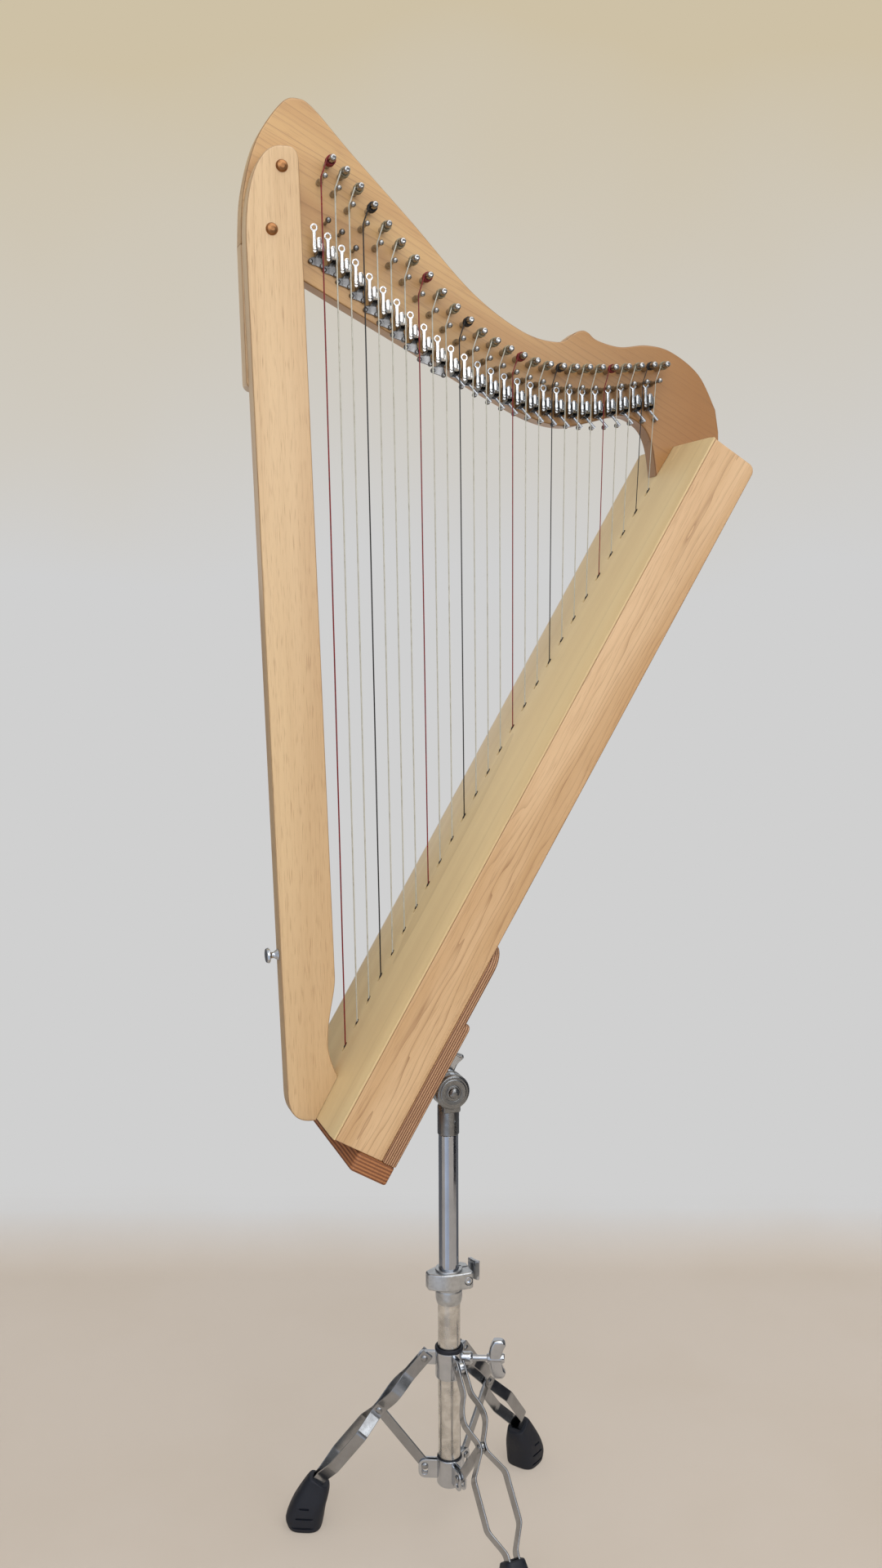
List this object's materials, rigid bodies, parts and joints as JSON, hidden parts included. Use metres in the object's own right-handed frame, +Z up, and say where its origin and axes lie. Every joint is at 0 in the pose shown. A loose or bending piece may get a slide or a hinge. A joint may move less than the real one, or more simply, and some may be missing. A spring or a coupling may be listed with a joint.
{
  "type": "lever harp on tripod stand",
  "caption": "Small lever harp with a long slanted soundbox, curved neck, straight pillar and sharping levers, tilting on a telescoping tripod stand with folding legs.",
  "frame": {"origin": "on the floor, below the middle of the part's box", "axes": "+Z up, +X along the strings' row from the bass to the treble, -Y towards the side with the levers"},
  "size_m": [0.4846, 0.2858, 1.3881],
  "materials": {
    "maple": "satin clear lacquer over flamed maple",
    "neck_wood": "satin clear lacquer over reddish maple",
    "spruce": "satin, fine straight grain",
    "plywood": "lacquered plywood with laminations on its edges",
    "nylon": "clear, red and black strings",
    "nickel": "bright nickel plate",
    "chrome": "polished",
    "cast_metal": "satin grey cast metal",
    "rubber": "matt black"
  },
  "bodies": {
    "upper_hub": {"upper_hub": "nickel"},
    "lower_tube": {"lower_tube": "chrome", "clamp_collar": "cast_metal", "clamp_bolt": "nickel", "lower_hub": "nickel"},
    "upper_tube": {"upper_tube": "chrome"},
    "tilter": {"tilter_lower": "cast_metal"},
    "harp": {"soundboard": "spruce", "side_near": "maple", "side_far": "maple", "bottom_end": "maple", "top_end": "maple", "back": "maple", "base_block": "plywood", "mount_board": "plywood", "neck": "neck_wood", "strings": "nylon", "pillar": "maple", "pillar_top_block": "maple", "strap_button": "nickel", "tilter_upper": "nickel"},
    "tilter_handle": {"tilter_handle": "nickel"},
    "clamp_lever": {"clamp_lever": "nickel"},
    "hub_wing_bolt": {"hub_wing_bolt": "nickel"},
    "leg_front": {"leg_front": "nickel", "foot_front": "rubber"},
    "brace_front": {"brace_front": "nickel"},
    "leg_right": {"leg_right": "nickel", "foot_right": "rubber"},
    "brace_right": {"brace_right": "nickel"},
    "leg_left": {"leg_left": "nickel", "foot_left": "rubber"},
    "brace_left": {"brace_left": "nickel"},
    "lever_01": {"lever_01": "nickel"},
    "lever_02": {"lever_02": "nickel"},
    "lever_03": {"lever_03": "nickel"},
    "lever_04": {"lever_04": "nickel"},
    "lever_05": {"lever_05": "nickel"},
    "lever_06": {"lever_06": "nickel"},
    "lever_07": {"lever_07": "nickel"},
    "lever_08": {"lever_08": "nickel"},
    "lever_09": {"lever_09": "nickel"},
    "lever_10": {"lever_10": "nickel"},
    "lever_11": {"lever_11": "nickel"},
    "lever_12": {"lever_12": "nickel"},
    "lever_13": {"lever_13": "nickel"},
    "lever_14": {"lever_14": "nickel"},
    "lever_15": {"lever_15": "nickel"},
    "lever_16": {"lever_16": "nickel"},
    "lever_17": {"lever_17": "nickel"},
    "lever_18": {"lever_18": "nickel"},
    "lever_19": {"lever_19": "nickel"},
    "lever_20": {"lever_20": "nickel"},
    "lever_21": {"lever_21": "nickel"},
    "lever_22": {"lever_22": "nickel"},
    "lever_23": {"lever_23": "nickel"},
    "lever_24": {"lever_24": "nickel"},
    "lever_25": {"lever_25": "nickel"},
    "lever_26": {"lever_26": "nickel"}
  },
  "joints": [
    {"name": "hub_slide", "type": "slide", "parent": "upper_hub", "child": "lower_tube", "axis": [0, 0, 1], "range_m": [-0.0323, 0]},
    {"name": "height", "type": "slide", "parent": "lower_tube", "child": "upper_tube", "axis": [0, 0, 1], "range_m": [-0.07, 0.06]},
    {"name": "swivel", "type": "hinge", "parent": "upper_tube", "child": "tilter", "pos_m": [-0.05029, 0.0276, 0.466], "axis": [0, 0, 1], "continuous": true},
    {"name": "tilt", "type": "hinge", "parent": "tilter", "child": "harp", "pos_m": [-0.05029, 0.0276, 0.466], "axis": [0, 1, 0], "range_deg": [-20, 20]},
    {"name": "tilter_handle_turn", "type": "hinge", "parent": "tilter", "child": "tilter_handle", "pos_m": [-0.05029, 0.0276, 0.466], "axis": [0, 1, 0], "continuous": true},
    {"name": "clamp_lever_swing", "type": "hinge", "parent": "lower_tube", "child": "clamp_lever", "pos_m": [-0.03429, 0.0454, 0.2705], "axis": [0, 0, 1], "range_deg": [0, 90]},
    {"name": "hub_bolt_turn", "type": "hinge", "parent": "upper_hub", "child": "hub_wing_bolt", "pos_m": [-0.05029, 0.0276, 0.186], "axis": [0.9304, -0.3665, 0], "continuous": true},
    {"name": "leg_fold_front", "type": "hinge", "parent": "upper_hub", "child": "leg_front", "pos_m": [-0.04746, 0.00276, 0.186], "axis": [0.9936, 0.1132, 0], "range_deg": [0, 33.6]},
    {"name": "brace_fold_front", "type": "hinge", "parent": "leg_front", "child": "brace_front", "pos_m": [-0.04219, -0.04352, 0.1285], "axis": [0.9936, 0.1132, 0], "range_deg": [-67.3, 0]},
    {"name": "leg_fold_right", "type": "hinge", "parent": "upper_hub", "child": "leg_right", "pos_m": [-0.0302, 0.04247, 0.186], "axis": [-0.5948, 0.8039, 0], "range_deg": [0, 33.6]},
    {"name": "brace_fold_right", "type": "hinge", "parent": "leg_right", "child": "brace_right", "pos_m": [0.00725, 0.07017, 0.1285], "axis": [-0.5948, 0.8039, 0], "range_deg": [-67.3, 0]},
    {"name": "leg_fold_left", "type": "hinge", "parent": "upper_hub", "child": "leg_left", "pos_m": [-0.07322, 0.03757, 0.186], "axis": [-0.3987, -0.9171, 0], "range_deg": [0, 33.6]},
    {"name": "brace_fold_left", "type": "hinge", "parent": "leg_left", "child": "brace_left", "pos_m": [-0.11594, 0.05614, 0.1285], "axis": [-0.3987, -0.9171, 0], "range_deg": [-67.3, 0]},
    {"name": "lever_01_turn", "type": "hinge", "parent": "harp", "child": "lever_01", "pos_m": [-0.17162, 0.01715, 1.25663], "axis": [0.9997, 0, 0.0227], "range_deg": [0, 130]},
    {"name": "lever_02_turn", "type": "hinge", "parent": "harp", "child": "lever_02", "pos_m": [-0.15897, 0.01715, 1.24994], "axis": [0.9997, 0, 0.0227], "range_deg": [0, 130]},
    {"name": "lever_03_turn", "type": "hinge", "parent": "harp", "child": "lever_03", "pos_m": [-0.14622, 0.01712, 1.24036], "axis": [0.9997, 0, 0.0227], "range_deg": [0, 130]},
    {"name": "lever_04_turn", "type": "hinge", "parent": "harp", "child": "lever_04", "pos_m": [-0.1334, 0.01709, 1.22916], "axis": [0.9997, 0, 0.0227], "range_deg": [0, 130]},
    {"name": "lever_05_turn", "type": "hinge", "parent": "harp", "child": "lever_05", "pos_m": [-0.12053, 0.01705, 1.21759], "axis": [0.9997, 0, 0.0227], "range_deg": [0, 130]},
    {"name": "lever_06_turn", "type": "hinge", "parent": "harp", "child": "lever_06", "pos_m": [-0.10763, 0.01702, 1.20692], "axis": [0.9997, 0, 0.0227], "range_deg": [0, 130]},
    {"name": "lever_07_turn", "type": "hinge", "parent": "harp", "child": "lever_07", "pos_m": [-0.09469, 0.01698, 1.19681], "axis": [0.9997, 0, 0.0227], "range_deg": [0, 130]},
    {"name": "lever_08_turn", "type": "hinge", "parent": "harp", "child": "lever_08", "pos_m": [-0.08168, 0.01694, 1.18642], "axis": [0.9997, 0, 0.0227], "range_deg": [0, 130]},
    {"name": "lever_09_turn", "type": "hinge", "parent": "harp", "child": "lever_09", "pos_m": [-0.06862, 0.0169, 1.17624], "axis": [0.9997, 0, 0.0227], "range_deg": [0, 130]},
    {"name": "lever_10_turn", "type": "hinge", "parent": "harp", "child": "lever_10", "pos_m": [-0.0555, 0.01686, 1.16679], "axis": [0.9997, 0, 0.0227], "range_deg": [0, 130]},
    {"name": "lever_11_turn", "type": "hinge", "parent": "harp", "child": "lever_11", "pos_m": [-0.04234, 0.01683, 1.15856], "axis": [0.9997, 0, 0.0227], "range_deg": [0, 130]},
    {"name": "lever_12_turn", "type": "hinge", "parent": "harp", "child": "lever_12", "pos_m": [-0.02914, 0.01683, 1.15158], "axis": [0.9997, 0, 0.0227], "range_deg": [0, 130]},
    {"name": "lever_13_turn", "type": "hinge", "parent": "harp", "child": "lever_13", "pos_m": [-0.01588, 0.01684, 1.14553], "axis": [0.9997, 0, 0.0227], "range_deg": [0, 130]},
    {"name": "lever_14_turn", "type": "hinge", "parent": "harp", "child": "lever_14", "pos_m": [-0.00257, 0.01687, 1.14034], "axis": [0.9997, 0, 0.0227], "range_deg": [0, 130]},
    {"name": "lever_15_turn", "type": "hinge", "parent": "harp", "child": "lever_15", "pos_m": [0.0108, 0.01692, 1.13596], "axis": [0.9997, 0, 0.0227], "range_deg": [0, 130]},
    {"name": "lever_16_turn", "type": "hinge", "parent": "harp", "child": "lever_16", "pos_m": [0.02423, 0.01697, 1.13234], "axis": [0.9997, 0, 0.0227], "range_deg": [0, 130]},
    {"name": "lever_17_turn", "type": "hinge", "parent": "harp", "child": "lever_17", "pos_m": [0.03771, 0.01705, 1.12952], "axis": [0.9997, 0, 0.0227], "range_deg": [0, 130]},
    {"name": "lever_18_turn", "type": "hinge", "parent": "harp", "child": "lever_18", "pos_m": [0.05123, 0.01716, 1.12754], "axis": [0.9997, 0, 0.0227], "range_deg": [0, 130]},
    {"name": "lever_19_turn", "type": "hinge", "parent": "harp", "child": "lever_19", "pos_m": [0.06481, 0.0173, 1.12633], "axis": [0.9997, 0, 0.0227], "range_deg": [0, 130]},
    {"name": "lever_20_turn", "type": "hinge", "parent": "harp", "child": "lever_20", "pos_m": [0.07843, 0.01746, 1.12582], "axis": [0.9997, 0, 0.0227], "range_deg": [0, 130]},
    {"name": "lever_21_turn", "type": "hinge", "parent": "harp", "child": "lever_21", "pos_m": [0.09209, 0.01764, 1.12596], "axis": [0.9997, 0, 0.0227], "range_deg": [0, 130]},
    {"name": "lever_22_turn", "type": "hinge", "parent": "harp", "child": "lever_22", "pos_m": [0.10578, 0.01784, 1.12717], "axis": [0.9997, 0, 0.0227], "range_deg": [0, 130]},
    {"name": "lever_23_turn", "type": "hinge", "parent": "harp", "child": "lever_23", "pos_m": [0.11948, 0.01808, 1.12949], "axis": [0.9997, 0, 0.0227], "range_deg": [0, 130]},
    {"name": "lever_24_turn", "type": "hinge", "parent": "harp", "child": "lever_24", "pos_m": [0.13322, 0.01836, 1.13228], "axis": [0.9997, 0, 0.0227], "range_deg": [0, 130]},
    {"name": "lever_25_turn", "type": "hinge", "parent": "harp", "child": "lever_25", "pos_m": [0.14699, 0.01874, 1.13492], "axis": [0.9997, 0, 0.0227], "range_deg": [0, 130]},
    {"name": "lever_26_turn", "type": "hinge", "parent": "harp", "child": "lever_26", "pos_m": [0.16079, 0.01928, 1.13676], "axis": [0.9997, 0, 0.0227], "range_deg": [0, 130]}
  ],
  "couplings": [
    {"joint": "leg_fold_front", "follows": "hub_slide", "rad_per_m": -18.15},
    {"joint": "brace_fold_front", "follows": "hub_slide", "rad_per_m": 36.3},
    {"joint": "leg_fold_right", "follows": "hub_slide", "rad_per_m": -18.15},
    {"joint": "brace_fold_right", "follows": "hub_slide", "rad_per_m": 36.3},
    {"joint": "leg_fold_left", "follows": "hub_slide", "rad_per_m": -18.15},
    {"joint": "brace_fold_left", "follows": "hub_slide", "rad_per_m": 36.3}
  ]
}
